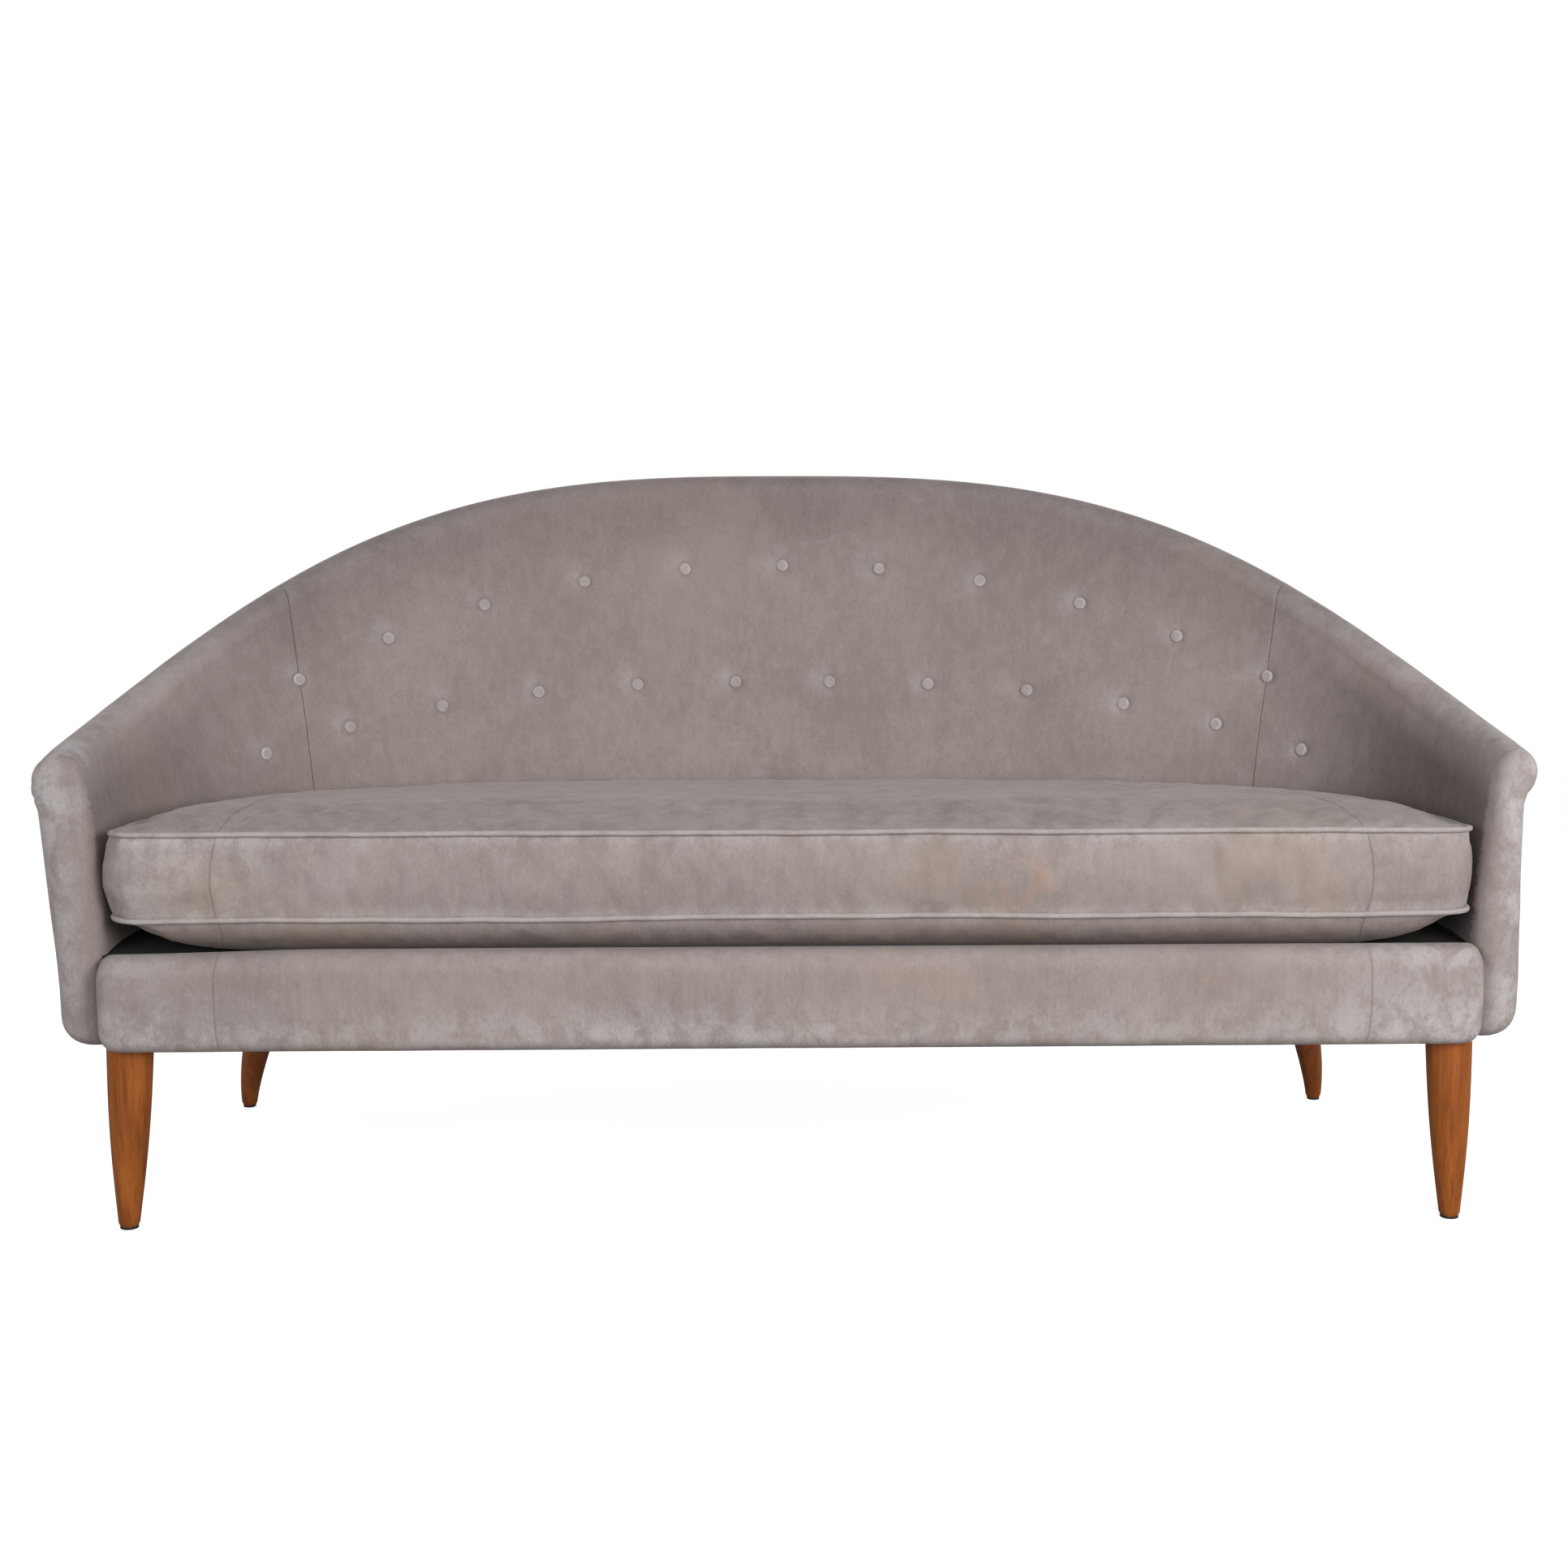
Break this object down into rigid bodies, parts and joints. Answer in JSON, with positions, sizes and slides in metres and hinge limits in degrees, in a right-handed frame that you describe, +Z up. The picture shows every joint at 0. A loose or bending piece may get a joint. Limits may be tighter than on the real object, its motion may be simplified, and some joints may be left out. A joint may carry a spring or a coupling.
{
  "type": "settee",
  "caption": "Upholstered settee with an arched, buttoned back sweeping into low rolled arms, a loose piped seat cushion, a padded front roll and tapered wooden legs.",
  "frame": {"origin": "on the floor under the middle of the settee", "axes": "+X to the right as seen from the front, +Y to the back, +Z up; left and right in names are as seen from the front"},
  "size_m": [1.7234, 0.7219, 0.833],
  "materials": {
    "velvet": "short pile velvet, mauve grey, with a mottled nap and rubbed highlights",
    "beech": "amber stained and clear lacquered",
    "raw_beech": "bare, planed",
    "jute": "plain woven jute",
    "padding": "felted fibre",
    "steel": "bright steel",
    "glide_steel": "dull dark steel",
    "dust_cloth": "black woven cotton",
    "zip_tape": "woven tape with a closed coil"
  },
  "bodies": {
    "settee_frame": {"front_rail": "raw_beech", "seat_rail_back": "raw_beech", "seat_rail_left": "raw_beech", "seat_rail_right": "raw_beech", "seat_stretchers": "raw_beech", "front_corner_blocks": "raw_beech", "rear_corner_blocks": "raw_beech", "back_uprights": "raw_beech", "corner_uprights": "raw_beech", "arm_post_left": "raw_beech", "arm_post_right": "raw_beech", "back_top_rail": "raw_beech", "arm_top_rail_left": "raw_beech", "arm_top_rail_right": "raw_beech", "seat_webbing_long": "jute", "seat_webbing_cross": "jute", "seat_hessian": "jute", "seat_felt": "padding", "deck_cover": "dust_cloth", "back_webbing": "jute", "back_hessian": "jute", "back_pad": "padding", "arm_pad_left": "padding", "arm_pad_right": "padding", "outside_wadding": "padding", "front_roll_pad": "padding", "inside_back_cover": "velvet", "inside_arm_cover_left": "velvet", "inside_arm_cover_right": "velvet", "outside_back_cover": "velvet", "outside_arm_cover_left": "velvet", "outside_arm_cover_right": "velvet", "front_roll_cover": "velvet", "dust_cover": "dust_cloth", "dust_cover_tacks": "steel", "tufting_buttons": "velvet", "tufting_twines": "jute", "twine_toggles": "raw_beech", "front_leg_left": "beech", "front_leg_right": "beech", "rear_leg_left": "beech", "rear_leg_right": "beech", "leg_plates": "steel", "leg_bolts": "steel", "leg_glides": "glide_steel"},
    "seat_cushion": {"cushion_core": "padding", "cushion_top_panel": "velvet", "cushion_bottom_panel": "velvet", "cushion_border": "velvet", "cushion_top_piping": "velvet", "cushion_bottom_piping": "velvet", "cushion_zip": "zip_tape"}
  },
  "joints": [
    {"name": "cushion_lift", "type": "slide", "parent": "settee_frame", "child": "seat_cushion", "axis": [0, 0, 1], "range_m": [0, 0.55]}
  ]
}
